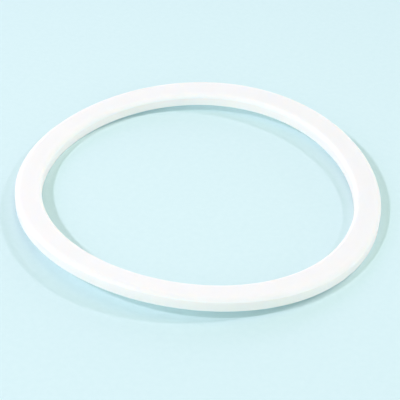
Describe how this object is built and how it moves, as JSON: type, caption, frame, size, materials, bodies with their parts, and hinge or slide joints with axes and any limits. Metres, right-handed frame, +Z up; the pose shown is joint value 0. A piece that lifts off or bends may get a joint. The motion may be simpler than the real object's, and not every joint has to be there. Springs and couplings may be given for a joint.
{
  "type": "ptfe washer",
  "caption": "Plain flat sealing washer cut from white fluoropolymer sheet, with a wide bore, a soft upper rim and a slight curl that lifts two opposite sides.",
  "frame": {"origin": "on the bore's axis, at the level of the flat surface that the washer lies on", "axes": "+Z up along the bore's axis, towards the face with the rounded rim; X along the line that the curled washer rests on; +Y and -Y towards the two raised sides"},
  "size_m": [0.07, 0.07, 0.005],
  "materials": {
    "ptfe": "milky white, waxy satin"
  },
  "bodies": {
    "root": {"washer": "ptfe"}
  },
  "joints": []
}
